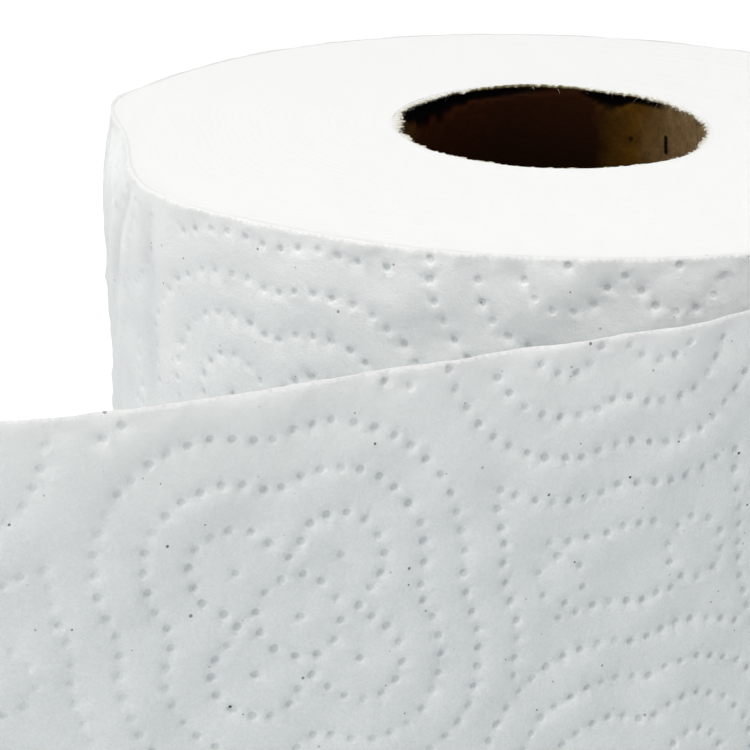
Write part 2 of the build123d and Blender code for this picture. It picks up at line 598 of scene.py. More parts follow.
def pit_points(pits, profile, sides, draw):
    """The rings of points of each pit, and how deep they lie."""
    middles, radius, sink, torn = pits
    shape = (len(middles), sides)
    angle = 2 * math.pi * (np.arange(sides) + draw.random((len(middles), 1))) / sides
    points, sinks = [middles], [sink]
    below = np.clip(np.sin(angle), 0, 1) * (sink[:, None] / PIT_SINK)
    for share, fall in profile:
        pulled = np.where(torn[:, None], draw.uniform(0.85, 1.12, shape), 1)
        pushed = np.where(torn[:, None], draw.uniform(-0.05, 0.09, shape), 0)
        reach = direction(angle) * (share * radius[:, None] * pulled)[:, :, None]
        points.append((middles[:, None, :] + reach).reshape(-1, 2))
        lip = PIT_LIP * below * (fall == 0)
        sinks.append((fall * sink[:, None] - pushed - lip).ravel())
    return np.concatenate(points), np.concatenate(sinks)


def clear_of(points, middles, room):
    """Those of the points that are at least this far from every middle."""
    keep = np.ones(len(points), bool)
    for start in range(0, len(points), BATCH):
        part = points[start:start + BATCH]
        apart = np.sum((part[:, None] - middles) ** 2, 2)
        keep[start:start + BATCH] = apart.min(1) > room ** 2
    return points[keep]


def join_flat(points, border_count):
    """Triangles between flat points, by their order in the list, inside the border."""
    flat = [Vector(point) for point in points.tolist()]
    fence = [(index, (index + 1) % border_count) for index in range(border_count)]
    _, _, faces, sources, _, _ = delaunay_2d_cdt(flat, fence, [], 1, 1e-7)
    return np.array([[sources[corner][0] for corner in face] for face in faces])


# %% [markdown]
# A sheet is a closed shell. Its outer face has the pits, and its inner face shows them as
# low bumps where the sheet is free. Where it is wound, the inner face can't be seen, so it
# is plain and coarse there. The two are joined round the border, which is pinched thin. At
# a perforation the border is drawn back between the ties, which leaves fine slits between
# two sheets, and at the free end the torn ties stand out as short ragged tabs.

# %% Make a sheet
PINCH = 0.19
PINCH_REACH = 0.7
UNEVEN_FINE = 0.05
UNEVEN_SOFT = 0.13
SLIT_REACH = 1.2
CLOSED_RIM = (2.6, 1.8)
RAGGED = 0.10
BACK_SHARE = 0.62
TUCK = 0.3
HIDDEN_THINNING = 7
# Painted shade of the pit floors: from and to which share of the full sink it grows.
PIT_SHADE_SHARES = (0.4, 1.05)
# How strongly creases are painted: painted shade in their valleys, a painted highlight on their ridges.
CREASE_SHADING_STRENGTH = 2


def thinned(distance):
    """How far each face draws in at this distance from an edge of the sheet."""
    return PINCH * np.clip(1 - distance / PINCH_REACH, 0, 1) ** 2


def make_mesh(name, places, faces):
    """A new object at the origin from places in metres and faces."""
    mesh = bpy.data.meshes.new(name)
    mesh.from_pydata(places.tolist(), [], faces)
    mesh.validate()
    piece = bpy.data.objects.new(name, mesh)
    bpy.context.scene.collection.objects.link(piece)
    return piece


def activate(piece):
    """Make this the one selected piece."""
    bpy.ops.object.select_all(action="DESELECT")
    piece.select_set(True)
    bpy.context.view_layer.objects.active = piece


def smooth(piece, degrees):
    """Smooth shading, apart from edges sharper than this."""
    activate(piece)
    bpy.ops.object.shade_smooth_by_angle(angle=math.radians(degrees))


def note_points(mesh, **notes):
    """Keep named values on the points, for the materials."""
    for label, values in notes.items():
        kept = mesh.attributes.new(label, "FLOAT", "POINT")
        kept.data.foreach_set("value", values.astype(np.float32))


def relief(arc, depth):
    """The soft swelling between the rows of pits, and the tissue's own unevenness."""
    distance = lobe_distance(*to_pattern(arc, depth))
    swell = SWELL * np.sin(math.pi * distance) ** 2
    uneven = UNEVEN_FINE * ripple(arc, depth, 2.6, 5) + UNEVEN_SOFT * ripple(arc, depth, 9, 6)
    return swell + uneven


def shift_ends(points, first, last):
    """Draw the sheet's ends back between the ties, or leave torn tabs at the free end."""
    arc, depth = points.T
    slit = (1 - tie_share(depth)) * (1 - wound(arc) * ramp(from_ends(depth), *CLOSED_RIM))
    near_last = ramp(arc, last - SLIT_REACH, last)
    moved = arc.copy()
    if first > WEB_START:
        moved += SLIT * slit * ramp(arc, first + SLIT_REACH, first)
    if last == WEB_END:
        ragged = RAGGED * ripple(arc, depth, 0.9, 21) + RAGGED * ripple(depth, arc, 3.1, 22)
        moved -= near_last * (TAB * slit + np.abs(ragged))
    else:
        moved -= SLIT * slit * near_last
    return moved


def gather(rim, pressed, sinks, between):
    """All points of one face of a sheet, and how deep each is pressed."""
    sunk = np.concatenate([np.zeros(len(rim)), sinks, np.zeros(len(between))])
    return np.concatenate([rim, pressed, between]), sunk


def make_sheet(name, first, last, free_inside, seed):
    """One sheet of the web between two perforations, as a closed shell."""
    draw = np.random.default_rng(seed)
    rim = border(first, last)
    pits = choose_pits(first, last, draw)
    between = clear_of(inner_points(first, last, draw), pits[0], PIT_CLEAR)
    pressed, sinks = pit_points(pits, PIT_PROFILE, PIT_SIDES, draw)
    outer, outer_sink = gather(rim, pressed, sinks, between)
    if free_inside:
        pressed, sinks = pit_points(pits, BACK_PROFILE, BACK_SIDES, draw)
    else:
        pressed, sinks = np.zeros((0, 2)), np.zeros(0)
        between = inner_points(first, last, draw)[::HIDDEN_THINNING]
    inner, inner_sink = gather(rim, pressed, sinks, between)
    outer_faces, inner_faces = join_flat(outer, len(rim)), join_flat(inner, len(rim))
    places = []
    for points, sink, inside in ((outer, outer_sink, False), (inner, inner_sink, True)):
        arc, depth = points.T
        held = wound(arc)
        from_edge = from_ends(depth)
        open_ends = 1 - held * ramp(from_edge, *CLOSED_RIM)
        pinch = np.maximum(thinned(last - arc) * open_ends, (1 - held) * thinned(from_edge))
        if first > WEB_START:
            pinch = np.maximum(pinch, thinned(arc - first) * open_ends)
        if inside:
            lift = -THICKNESS + pinch + (1 - held) * (relief(arc, depth) - BACK_SHARE * sink)
            hidden = TUCK * ramp(from_edge, 0.5, 3)
            lift += held * (rim_inset(depth) - creases(arc, depth) - hidden)
        else:
            lift = relief(arc, depth) - sink - pinch
        places.append(lay(shift_ends(points, first, last), depth, lift))
    around = np.arange(len(rim))
    after = np.roll(around, -1)
    start = len(outer)
    faces = outer_faces.tolist() + (inner_faces[:, ::-1] + start).tolist()
    faces += np.column_stack([after, around, around + start, after + start]).tolist()
    sheet = make_mesh(name, np.concatenate(places), faces)
    # Painted shade: how much each pit floor is darkened, by how deep it is pressed.
    least, most = PIT_SHADE_SHARES
    pit_shade = ramp(np.concatenate([outer_sink, inner_sink]), least * PIT_SINK, most * PIT_SINK)
    # Crease values for painted shade in the valleys and a painted highlight on the ridges.
    crease_shading = CREASE_SHADING_STRENGTH * creases(*np.concatenate([outer, inner]).T)
    note_points(sheet.data, pressed=pit_shade, crease=crease_shading)
    smooth(sheet, 80)
    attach(sheet, "root")
    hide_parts("paper")
    print(name, "is", last - first, "mm long with", len(pits[0]), "pits and", len(faces), "faces")
    return sheet


# %% The five sheets that show
SHEET = 125.0
SECOND_END = WEB_END - SHEET
THIRD_END = SECOND_END - SHEET
FOURTH_END = THIRD_END - SHEET
FIFTH_END = FOURTH_END - SHEET
free_sheet = make_sheet("free_sheet", SECOND_END, WEB_END, True, 1)
second_sheet = make_sheet("second_sheet", THIRD_END, SECOND_END, True, 2)
third_sheet = make_sheet("third_sheet", FOURTH_END, THIRD_END, False, 3)
fourth_sheet = make_sheet("fourth_sheet", FIFTH_END, FOURTH_END, False, 4)
fifth_sheet = make_sheet("fifth_sheet", WEB_START, FIFTH_END, False, 5)

# %% [markdown]
# Under those sheets lie the rest of the turns. What shows of them is both end faces, where
# each turn's cut edge stands beside the next as one fine spiral. The section of the wound
# paper is drawn once, as the outline of a plain plate: its outer corners are rounded, its
# ends are divided twice for each turn, and every other point is pushed in as a groove. The
# section is then spun round the axis. A spun section gives rings, so each point is drawn
# in by one turn over the full circle, and the rings become a spiral.

# %% Edit-mode helpers
def edit(piece):
    """Open this one piece with nothing selected."""
    activate(piece)
    bpy.ops.object.mode_set(mode="EDIT")
    bpy.ops.mesh.select_all(action="DESELECT")


def pick(piece, kind, test):
    """In edit mode, select the vertices or edges that pass a test."""
    bpy.ops.mesh.select_mode(type={"vertices": "VERT", "edges": "EDGE"}[kind])
    bpy.ops.mesh.select_all(action="DESELECT")
    bpy.ops.object.mode_set(mode="OBJECT")
    for item in getattr(piece.data, kind):
        item.select = bool(test(item))
    bpy.ops.object.mode_set(mode="EDIT")


def ends_of(piece, edge):
    """The places of an edge's two ends."""
    return [piece.data.vertices[index].co for index in edge.vertices]


def points_of(mesh):
    """The places of a mesh's points, in millimetres."""
    flat = np.empty(len(mesh.vertices) * 3)
    mesh.vertices.foreach_get("co", flat)
    return flat.reshape(-1, 3) / MM


def move_points(mesh, angle, radius, height):
    """Put a mesh's points at these places round the roll's axis."""
    places = np.column_stack([direction(angle) * radius[:, None], height])
    mesh.vertices.foreach_set("co", (places * MM).ravel())


# %% Draw the section of the wound turns
PRESSED = 0.03
BODY_RIM = 0.05
SPIN_STEPS = 180
GROOVE = 0.06
UNEVEN_END = 0.02
UNEVEN_TURN = 0.012
TURN_PACES = (2.9, 7.7, 0.61)
WALL_CUTS = 24
WALL_RECESS = 0.6
NEARLY = 1e-3
body_place, _ = web_plan(np.array([WEB_START]))
body_start = math.atan2(body_place[0, 1], body_place[0, 0])
body_radius = float(np.hypot(*body_place[0])) + PRESSED
first_turn = body_radius - BODY_RIM
turns = round((first_turn - CORE_RADIUS) / THICKNESS)
pitch = (first_turn - CORE_RADIUS) / turns

bpy.ops.object.select_all(action="DESELECT")
bpy.ops.mesh.primitive_plane_add(size=1)
wound_turns = bpy.context.object
wound_turns.name = wound_turns.data.name = "wound_turns"
edit(wound_turns)
bpy.ops.mesh.select_all(action="SELECT")
bpy.ops.mesh.delete(type="ONLY_FACE")
bpy.ops.object.mode_set(mode="OBJECT")
for corner in wound_turns.data.vertices:
    across = body_radius if corner.co.x > 0 else CORE_RADIUS
    corner.co = Vector((across, 0, WEB_WIDTH if corner.co.y > 0 else 0)) * MM


def at_outside(vertex):
    """The two outer corners of the section."""
    return vertex.co.x > (body_radius - NEARLY) * MM


def is_upright(edge):
    """The two long edges that stand, at the core and at the outside."""
    first, second = ends_of(wound_turns, edge)
    return abs(first.z - second.z) > WEB_WIDTH * MM / 2


def lies_on_end(edge):
    """An edge of an end face, from the core to where the outer corner is rounded."""
    first, second = ends_of(wound_turns, edge)
    return abs(first.z - second.z) < NEARLY * MM and max(first.x, second.x) < first_turn * MM + 1e-5


edit(wound_turns)
pick(wound_turns, "vertices", at_outside)
bpy.ops.mesh.bevel(offset=BODY_RIM * MM, segments=2, affect="VERTICES")
for chosen, cuts in ((is_upright, WALL_CUTS), (lies_on_end, turns - 1), (lies_on_end, 1)):
    pick(wound_turns, "edges", chosen)
    bpy.ops.mesh.subdivide(number_cuts=cuts)


def is_groove(vertex):
    """The points between two turns, apart from the one at the core."""
    count = (vertex.co.x / MM - CORE_RADIUS) / pitch
    return 0.5 < count < turns + 0.1 and abs(count - round(count)) < 0.1


for upper in (True, False):
    pick(wound_turns, "vertices", lambda v: is_groove(v) and (v.co.z > WEB_WIDTH * MM / 2) == upper)
    sink = -GROOVE * MM if upper else GROOVE * MM
    bpy.ops.transform.translate(value=(0, 0, sink))
print(turns, "turns in a section of", len(wound_turns.data.vertices), "points")

# %% Spin it and draw it into a spiral
bpy.ops.mesh.select_all(action="SELECT")
bpy.ops.mesh.spin(
    steps=SPIN_STEPS, angle=2 * math.pi, center=(0, 0, 0), axis=(0, 0, -1), use_auto_merge=False)
bpy.ops.object.mode_set(mode="OBJECT")
mesh = wound_turns.data
places = points_of(mesh)
radius = np.hypot(places[:, 0], places[:, 1])
angle = np.arctan2(places[:, 1], places[:, 0]) % (2 * math.pi)
angle[angle > 2 * math.pi - 1e-4] = 0
in_first_section = np.arange(len(places)) < len(places) // (SPIN_STEPS + 1)
angle[(angle < 1e-4) & ~in_first_section] = 2 * math.pi
height = places[:, 2]
from_end = from_ends(height)
on_end = (radius > CORE_RADIUS + 0.1) & (radius < first_turn + 0.01)
turn_share = angle / (2 * math.pi)
turn_count = (radius - CORE_RADIUS) / pitch - turn_share
radius -= np.where(radius > body_radius - NEARLY, WALL_RECESS * ramp(from_end, RIM, 4), 0)
at_core = radius < CORE_RADIUS + NEARLY
radius -= np.where(radius > CORE_RADIUS + 0.1, pitch * turn_share, 0)
radius = np.maximum(radius, CORE_RADIUS)
turned = angle + body_start
uneven = UNEVEN_END * ripple(*(direction(turned) * radius[:, None]).T, 17, 31)
for pace in TURN_PACES:
    uneven += UNEVEN_TURN * np.sin(turn_count * pace)
sink = (np.abs(uneven) + from_end) * ramp(radius, CORE_RADIUS, CORE_RADIUS + pitch)
sink *= ramp(turn_count, turns, turns - 3)
height = np.where(on_end, np.where(height > WEB_WIDTH / 2, WEB_WIDTH - sink, sink), height)
degrees = np.degrees(turned) % 360
depth = WEB_WIDTH - height
outer_share = np.clip((radius - CORE_RADIUS) / (first_turn - pitch - CORE_RADIUS), 0, 1) ** 2
inner_share = ramp(radius, CORE_RADIUS + 11, CORE_RADIUS)
radius += outer_share * (out_of_round(degrees, depth) - shoulder(depth))
radius += inner_share * hole_out_of_round(degrees, depth)
radius += np.where(at_core, WALL_RECESS / 3 * ramp(from_end, 0.5, 4), 0)
move_points(mesh, turned, radius, height)
edit(wound_turns)
bpy.ops.mesh.select_all(action="SELECT")
bpy.ops.mesh.remove_doubles(threshold=0.002 * MM)
bpy.ops.mesh.select_mode(type="EDGE")
bpy.ops.mesh.select_all(action="DESELECT")
bpy.ops.mesh.select_non_manifold(use_multi_face=False, use_non_contiguous=False, use_verts=False)
bpy.ops.mesh.edge_face_add()
bpy.ops.mesh.select_all(action="SELECT")
bpy.ops.mesh.normals_make_consistent(inside=False)
bpy.ops.object.mode_set(mode="OBJECT")
smooth(wound_turns, 70)
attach(wound_turns, "root")
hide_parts("paper")
print("wound turns:", len(mesh.vertices), "points,", len(mesh.polygons), "faces")

# %% [markdown]
# The tube is wound from board and cut with a blade, which leaves a rough, fluffy edge. It
# starts as an open cylinder with no ends. Cuts across it make rows that are close together
# near its ends, Solidify gives the wall its thickness, and the cut ends are divided across
# the wall. Its points are then shifted by angle: the edge frays, and at the back a loose
# lip of the inner layer leans in over a dark gap.
# The gap is also painted black, as painted shade.

# %% The board tube
CORE_WALL = 0.8
CORE_SEGMENTS = 480
CORE_ROWS = (0.12, 0.25, 0.4, 0.55, 0.75, 0.95, 1.2, 1.5, 1.9, 2.4, 3.2, 4.5, 6.5, 9.5, 14, 22, 34)
core_bore = CORE_RADIUS - CORE_WALL

bpy.ops.object.select_all(action="DESELECT")
bpy.ops.mesh.primitive_cylinder_add(
    vertices=CORE_SEGMENTS, radius=core_bore * MM, depth=WEB_WIDTH * MM,
    location=(0, 0, WEB_WIDTH * MM / 2), end_fill_type="NOTHING")
board_tube = bpy.context.object
board_tube.name = board_tube.data.name = "board_tube"
bpy.ops.object.transform_apply(location=True, rotation=True, scale=True)
edit(board_tube)
for row in CORE_ROWS + tuple(WEB_WIDTH - row for row in CORE_ROWS):
    bpy.ops.mesh.select_all(action="SELECT")
    bpy.ops.mesh.bisect(plane_co=(0, 0, row * MM), plane_no=(0, 0, 1))
bpy.ops.object.mode_set(mode="OBJECT")
wall = board_tube.modifiers.new("wall", "SOLIDIFY")
wall.thickness = CORE_WALL * MM
wall.offset = 1
bpy.ops.object.modifier_apply(modifier="wall")
edit(board_tube)


def crosses_wall(edge):
    """An edge of a cut end that runs from the inner face to the outer one."""
    first, second = ends_of(board_tube, edge)
    level = abs(first.z - second.z) < NEARLY * MM
    return level and abs(first.xy.length - second.xy.length) > CORE_WALL * MM / 2


pick(board_tube, "edges", crosses_wall)
bpy.ops.mesh.subdivide(number_cuts=3)
bpy.ops.object.mode_set(mode="OBJECT")

# %% Fray the cut edge
EDGE_LEANS = (
    # degrees, spread, how far the edge leans into the hole, height of the gap under it
    (183, 12, 0.55, 0.0),
    (146, 14, 0.60, 3.0),
    (120, 14, -0.10, 0.9),
    (96, 16, -0.38, 0.3),
    (67, 8, 0.45, 1.3),
    (50, 8, 0.50, 0.4),
    (0, 14, -0.15, 0.0),
    (225, 16, -0.15, 0.0),
    (262, 22, -0.45, 0.0),
    (305, 24, -0.45, 0.0),
)
CLEAN_CUTS = ((0.75, 100, 27), (0.65, 272, 42))
FRAY = 0.16
FRAY_LEFT = (1.6, 184, 15)
THIN_MOST = 0.55
LIP_END = 0.75
GAP_DEPTH = 0.6
RAGGED_FINE = 0.14
RAGGED_SLOW = 0.12
SEAM_STEP_IN = 0.14
SEAM_RISE = 130


def turn_bump(degrees, middle, spread):
    """A smooth bump of height 1 on the full circle."""
    return bump((degrees - middle + 180) % 360, 180, spread)


mesh = board_tube.data
places = points_of(mesh)
across, along = places[:, 0], places[:, 1]
radius = np.hypot(across, along)
angle = np.arctan2(along, across)
degrees = np.degrees(angle) % 360
in_wall = 1 - np.clip((radius - core_bore) / CORE_WALL, 0, 1)
depth = WEB_WIDTH - places[:, 2]
from_end = from_ends(depth)
top_side = depth < WEB_WIDTH / 2
edge_plan = (direction(angle) * core_bore).T
fray = FRAY * ripple(*edge_plan, 1.1, 41) + FRAY * ripple(*edge_plan, 4.0, 42)
fray *= 1 + bulge(degrees, *FRAY_LEFT)
lean, gap_height = np.zeros(len(radius)), np.zeros(len(radius))
for middle, spread, size, height in EDGE_LEANS:
    lean += size * turn_bump(degrees, middle, spread)
    gap_height += height * turn_bump(degrees, middle, spread)
lip = np.clip(lean + 0.5 * fray, 0, 1)
thin = np.clip(-lean, 0, THIN_MOST)
gap_end = LIP_END + gap_height * (1 + 0.14 * ripple(*edge_plan, 3.0, 45))
in_gap = ramp(depth, 0.45, LIP_END) * ramp(depth, gap_end + 0.35, gap_end)
in_gap *= ramp(gap_height, 0.15, 0.45)
radius += in_wall * ramp(from_end, 1.2, 0.0) * fray
radius -= np.where(top_side, in_wall * ramp(depth, LIP_END, 0.3) * lip, 0)
radius += np.where(top_side, in_wall * ramp(depth, 1.2, 0.1) * thin, 0)
radius += np.where(top_side, in_wall * in_gap * GAP_DEPTH, 0)
radius += hole_out_of_round(degrees, depth)
seam_turn = (angle / (2 * math.pi) - depth / SEAM_RISE) % 1
radius += in_wall * SEAM_STEP_IN * ramp(seam_turn, 0.0, 0.012) * ramp(seam_turn, 1.0, 0.1)
ragged = RAGGED_FINE * ripple(across, along, 1.1, 43) + RAGGED_SLOW * ripple(across, along, 4.0, 44)
clean_cut = sum(size * turn_bump(degrees, *where) for size, *where in CLEAN_CUTS)
drop = np.abs(ragged) * (0.4 + 0.6 * in_wall) * ramp(from_end, 0.6, 0.0) * (1 - 0.6 * clean_cut)
move_points(mesh, angle, radius, places[:, 2] + np.where(top_side, -drop, drop))
felted = ramp(from_end, 0.30 + 0.5 * np.clip(lean, -0.3, 1), 0.02) * (1 - clean_cut * in_wall)
# The gap's share, which the board material paints black as painted shade.
in_gap = np.where(top_side, in_gap, 0)
note_points(mesh, felt=felted, gap=in_gap, paper_side=1 - in_wall, cut=ramp(from_end, 0.34, 0.1))
mesh.update()
smooth(board_tube, 50)
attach(board_tube, "root")
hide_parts("core")
print("board tube:", len(mesh.vertices), "points")

# %% [markdown]
# Where the blade tore the board, fine fibres stick out of the cut. Each is a thin blade
# with three sides that bends and tapers to a point. They are grown along the upper edge,
# thickest where the edge is most torn.

# %% Fibres on the cut edge
FIBRES = 380
FIBRE_WIDTH = 0.03
FIBRE_LENGTHS = (0.3, 1.0)
FIBRE_CURL = 0.5
FIBRE_STEPS = 4
FIBRE_SIDES = 3
FIBRE_TOP = WEB_WIDTH - 0.05
STRAY_SHARE = 0.15
TEARS = ((183, 12), (186, 9), (196, 14), (150, 14), (52, 14), (345, 22))
UP = np.array([0, 0, 1])


def grow_fibre(draw):
    """The points of one fibre: rings that taper and bend, then its tip."""
    tear, spread = TEARS[draw.integers(len(TEARS))]
    at_tear = draw.random() < 1 - STRAY_SHARE
    degrees = draw.normal(tear, spread) if at_tear else draw.uniform(0, 360)
    outwards = np.append(direction(math.radians(degrees)), 0)
    around = np.cross(UP, outwards)
    reach = core_bore + hole_out_of_round(degrees % 360, 0.0) + draw.uniform(0.0, 0.7)
    root = outwards * reach + UP * (WEB_WIDTH - draw.uniform(0.15, 0.5))
    way = -outwards * draw.uniform(0.1, 1.0) + around * draw.normal(0, 0.8)
    way = way + UP * draw.uniform(-0.5, 0.12)
    way /= np.linalg.norm(way)
    curl = np.cross(way, draw.normal(0, 1, 3)) * FIBRE_CURL
    length = draw.uniform(*FIBRE_LENGTHS)
    side = np.cross(way, UP)
    side /= np.linalg.norm(side)
    top = np.cross(side, way)
    points = []
    for step in range(FIBRE_STEPS + 1):
        share = step / FIBRE_STEPS
        middle = root + way * length * share + curl * length * share ** 2
        middle[2] = min(middle[2], FIBRE_TOP)
        for turn in range(FIBRE_SIDES if share < 1 else 0):
            round_it = 2 * math.pi * turn / FIBRE_SIDES
            sideways = side * math.cos(round_it) + top * math.sin(round_it)
            points.append(middle + sideways * FIBRE_WIDTH * (1 - share))
    return points + [middle]


def fibre_skin(first):
    """The faces of one fibre, whose points start at this number."""
    faces = [(first, first + 2, first + 1)]
    last = first + FIBRE_SIDES * (FIBRE_STEPS - 1)
    for start in range(first, last + 1, FIBRE_SIDES):
        for turn in range(FIBRE_SIDES):
            a, b = start + turn, start + (turn + 1) % FIBRE_SIDES
            above = (last + FIBRE_SIDES,) if start == last else (b + FIBRE_SIDES, a + FIBRE_SIDES)
            faces.append((a, b) + above)
    return faces


draw = np.random.default_rng(61)
fibre_places, fibre_faces = [], []
for _ in range(FIBRES):
    fibre_faces += fibre_skin(len(fibre_places))
    fibre_places += grow_fibre(draw)
torn_fibres = make_mesh("torn_fibres", np.array(fibre_places) * MM, fibre_faces)
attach(torn_fibres, "root")
print("torn fibres:", FIBRES)

# %% [markdown]
# Both papers are made of short fibres that lie every way, so both materials share one grain
# group. It mixes a fine noise with a coarser one and gives a height. A second group scatters
# tiny specks, the flecks of bark and ink that recycled fibre keeps. A third gives the slow
# cloudiness of a sheet held up to the light, and a fourth says how near a place is to either
# end of the roll. All read the object's own coordinates, which on every piece here are
# metres in the same frame.

# %% Shared effects
def new_group(name, inputs, outputs):
    """An empty node group with these inputs and outputs, and its two ends."""
    group = bpy.data.node_groups.new(name, "ShaderNodeTree")
    for label, value in inputs:
        socket = group.interface.new_socket(label, in_out="INPUT", socket_type="NodeSocketFloat")
        socket.default_value = value
    for label in outputs:
        group.interface.new_socket(label, in_out="OUTPUT", socket_type="NodeSocketFloat")
    return group, group.nodes.new("NodeGroupInput").outputs, group.nodes.new("NodeGroupOutput").inputs


def object_place(tree, scale=1.0):
    """Where a point lies in the shared frame, in metres times the scale."""
    place = node(tree, "ShaderNodeTexCoord").outputs["Object"]
    return node(tree, "ShaderNodeVectorMath", {0: place, "Scale": scale}, operation="SCALE").outputs[0]


def noise(tree, place, scale, detail, roughness=0.55):
    """The value of a noise texture."""
    inputs = {"Vector": place, "Scale": scale, "Detail": detail, "Roughness": roughness}
    return node(tree, "ShaderNodeTexNoise", inputs).outputs[0]


def point_value(tree, label):
    """A value that was kept on the points."""
    return node(tree, "ShaderNodeAttribute", attribute_name=label).outputs["Fac"]


def map_share(tree, value, low, high):
    """0 up to low and 1 from high, in a straight line between. low may be the larger."""
    inputs = {"Value": value, "From Min": low, "From Max": high}
    return node(tree, "ShaderNodeMapRange", inputs).outputs[0]


grain, given, result = new_group("fibre_grain", [("Scale", 1.0)], ["Height"])
place = object_place(grain, given["Scale"])
fine = noise(grain, place, 4200, 3, 0.65)
coarse = noise(grain, place, 1300, 2, 0.5)
grain.links.new(math_node(grain, "MULTIPLY_ADD", coarse, 0.9, fine), result["Height"])

specks, given, result = new_group("specks", [("Scale", 420.0), ("Size", 0.06)], ["Mask"])
inputs = {"Vector": object_place(specks), "Scale": given["Scale"]}
cells = node(specks, "ShaderNodeTexVoronoi", inputs).outputs
draws = node(specks, "ShaderNodeSeparateColor", {0: cells["Color"]}).outputs
size = math_node(specks, "MULTIPLY", math_node(specks, "POWER", draws[0], 2.4), given["Size"])
mark = math_node(specks, "LESS_THAN", cells["Distance"], size)
darkness = math_node(specks, "MULTIPLY_ADD", draws[1], 0.75, 0.25)
specks.links.new(math_node(specks, "MULTIPLY", mark, darkness), result["Mask"])

clouds, given, result = new_group("clouds", [("Scale", 1.0)], ["Share"])
place = object_place(clouds, given["Scale"])
slow = noise(clouds, place, 260, 3, 0.6)
fine = noise(clouds, place, 3600, 2, 0.6)
both = math_node(clouds, "MULTIPLY_ADD", fine, 2.4, slow)
clouds.links.new(math_node(clouds, "ADD", both, -1.2), result["Share"])

near_end, given, result = new_group("near_end", [("Reach", 4.5 * MM)], ["Share"])
height = node(near_end, "ShaderNodeSeparateXYZ", {0: object_place(near_end)}).outputs["Z"]
depth = math_node(near_end, "SUBTRACT", WEB_WIDTH * MM, height)
fall = math_node(near_end, "DIVIDE", math_node(near_end, "MINIMUM", height, depth), given["Reach"])
near_end.links.new(math_node(near_end, "POWER", 0.5, fall), result["Share"])


# %% Helpers for materials
def new_material(name, settings):
    """A material, its node tree and the inputs of its surface, with these settings."""
    made = bpy.data.materials.new(name)
    made.use_nodes = True
    surface = made.node_tree.nodes["Principled BSDF"].inputs
    for label, value in settings.items():
        surface[label].default_value = value
    return made, made.node_tree, surface


def use_group(tree, group, **inputs):
    """The first output of a shared group, used with these values."""
    made = tree.nodes.new("ShaderNodeGroup")
    made.node_tree = group
    for name, value in inputs.items():
        made.inputs[name].default_value = value
    return made.outputs[0]


def lay_colours(tree, colour, layers):
    """Lay colours over the first one. Each layer is its share and its colour."""
    for share, tint in layers:
        mix = node(tree, "ShaderNodeMix", {0: share, 6: colour, 7: tint}, data_type="RGBA")
        mix.clamp_factor = True
        colour = mix.outputs[2]
    return colour


def paint(tree, surface, colour, grain_scale, grain_strength, grain_depth):
    """Give a surface its colour and its fibre grain."""
    inputs = {
        "Height": use_group(tree, grain, Scale=grain_scale),
        "Strength": grain_strength,
        "Distance": grain_depth,
    }
    tree.links.new(colour, surface["Base Color"])
    tree.links.new(node(tree, "ShaderNodeBump", inputs).outputs[0], surface["Normal"])


# %% [markdown]
# Tissue is matt and very pale, a trace cooler in its thin places, with a soft sheen where
# its fibres stand up at the edge of sight. The grain is a shallow bump. Specks are dark and
# few. The wall is painted lighter within a few millimetres of either end, as painted light
# for the light that passes through the tissue there, and a little darker right at the
# rounded rim, as painted shade that tones down its bright edge. Pit floors and crease
# valleys are painted darker, as painted shade, and crease ridges lighter, as a painted
# highlight. The cut edges on the end faces are whiter and fluffier, with a faint line
# between two turns, so they have a material of their own with the same effects.

# %% Tissue
TISSUE_SURFACE = {
    "Roughness": 0.95,
    "Specular IOR Level": 0.25,
    "Subsurface Weight": 0.45,
    "Subsurface Radius": (1.0, 1.0, 1.0),
    "Subsurface Scale": 0.6 * MM,
    "Sheen Weight": 0.08,
    "Sheen Roughness": 0.6,
}
# Painted light: how far from either end the wall is lightened.
END_LIGHT_REACH = 5.5 * MM
# Painted shade: how far from either end the rounded rim is darkened.
RIM_SHADE_REACH = 0.45 * MM
WALL_PALE = (0.880, 0.887, 0.891, 1)
WALL_THIN = (0.800, 0.812, 0.818, 1)
# Painted light near both ends, also used as the painted highlight on crease ridges.
WALL_PAINTED_LIGHT = (0.962, 0.958, 0.955, 1)
# Painted shade along the rounded rim, which tones down its bright edge.
WALL_RIM_SHADE = (0.87, 0.84, 0.84, 1)
FACE_PALE = (0.952, 0.914, 0.915, 1)
FACE_THIN = (0.942, 0.904, 0.905, 1)
# Painted shade in pit floors and in crease valleys.
PAINTED_SHADE_COLOUR = (0.66, 0.69, 0.70, 1)
PAINTED_SHADE_SHARE = 0.45
# Painted highlight on crease ridges.
RIDGE_HIGHLIGHT_SHARE = 0.8
SPECK_COLOUR = (0.06, 0.06, 0.06, 1)
SPECK_SHARE = 0.95
# Scale of the cells, and size of the specks in them
SPECKS = ((640.0, 1.0), (150.0, 0.30))


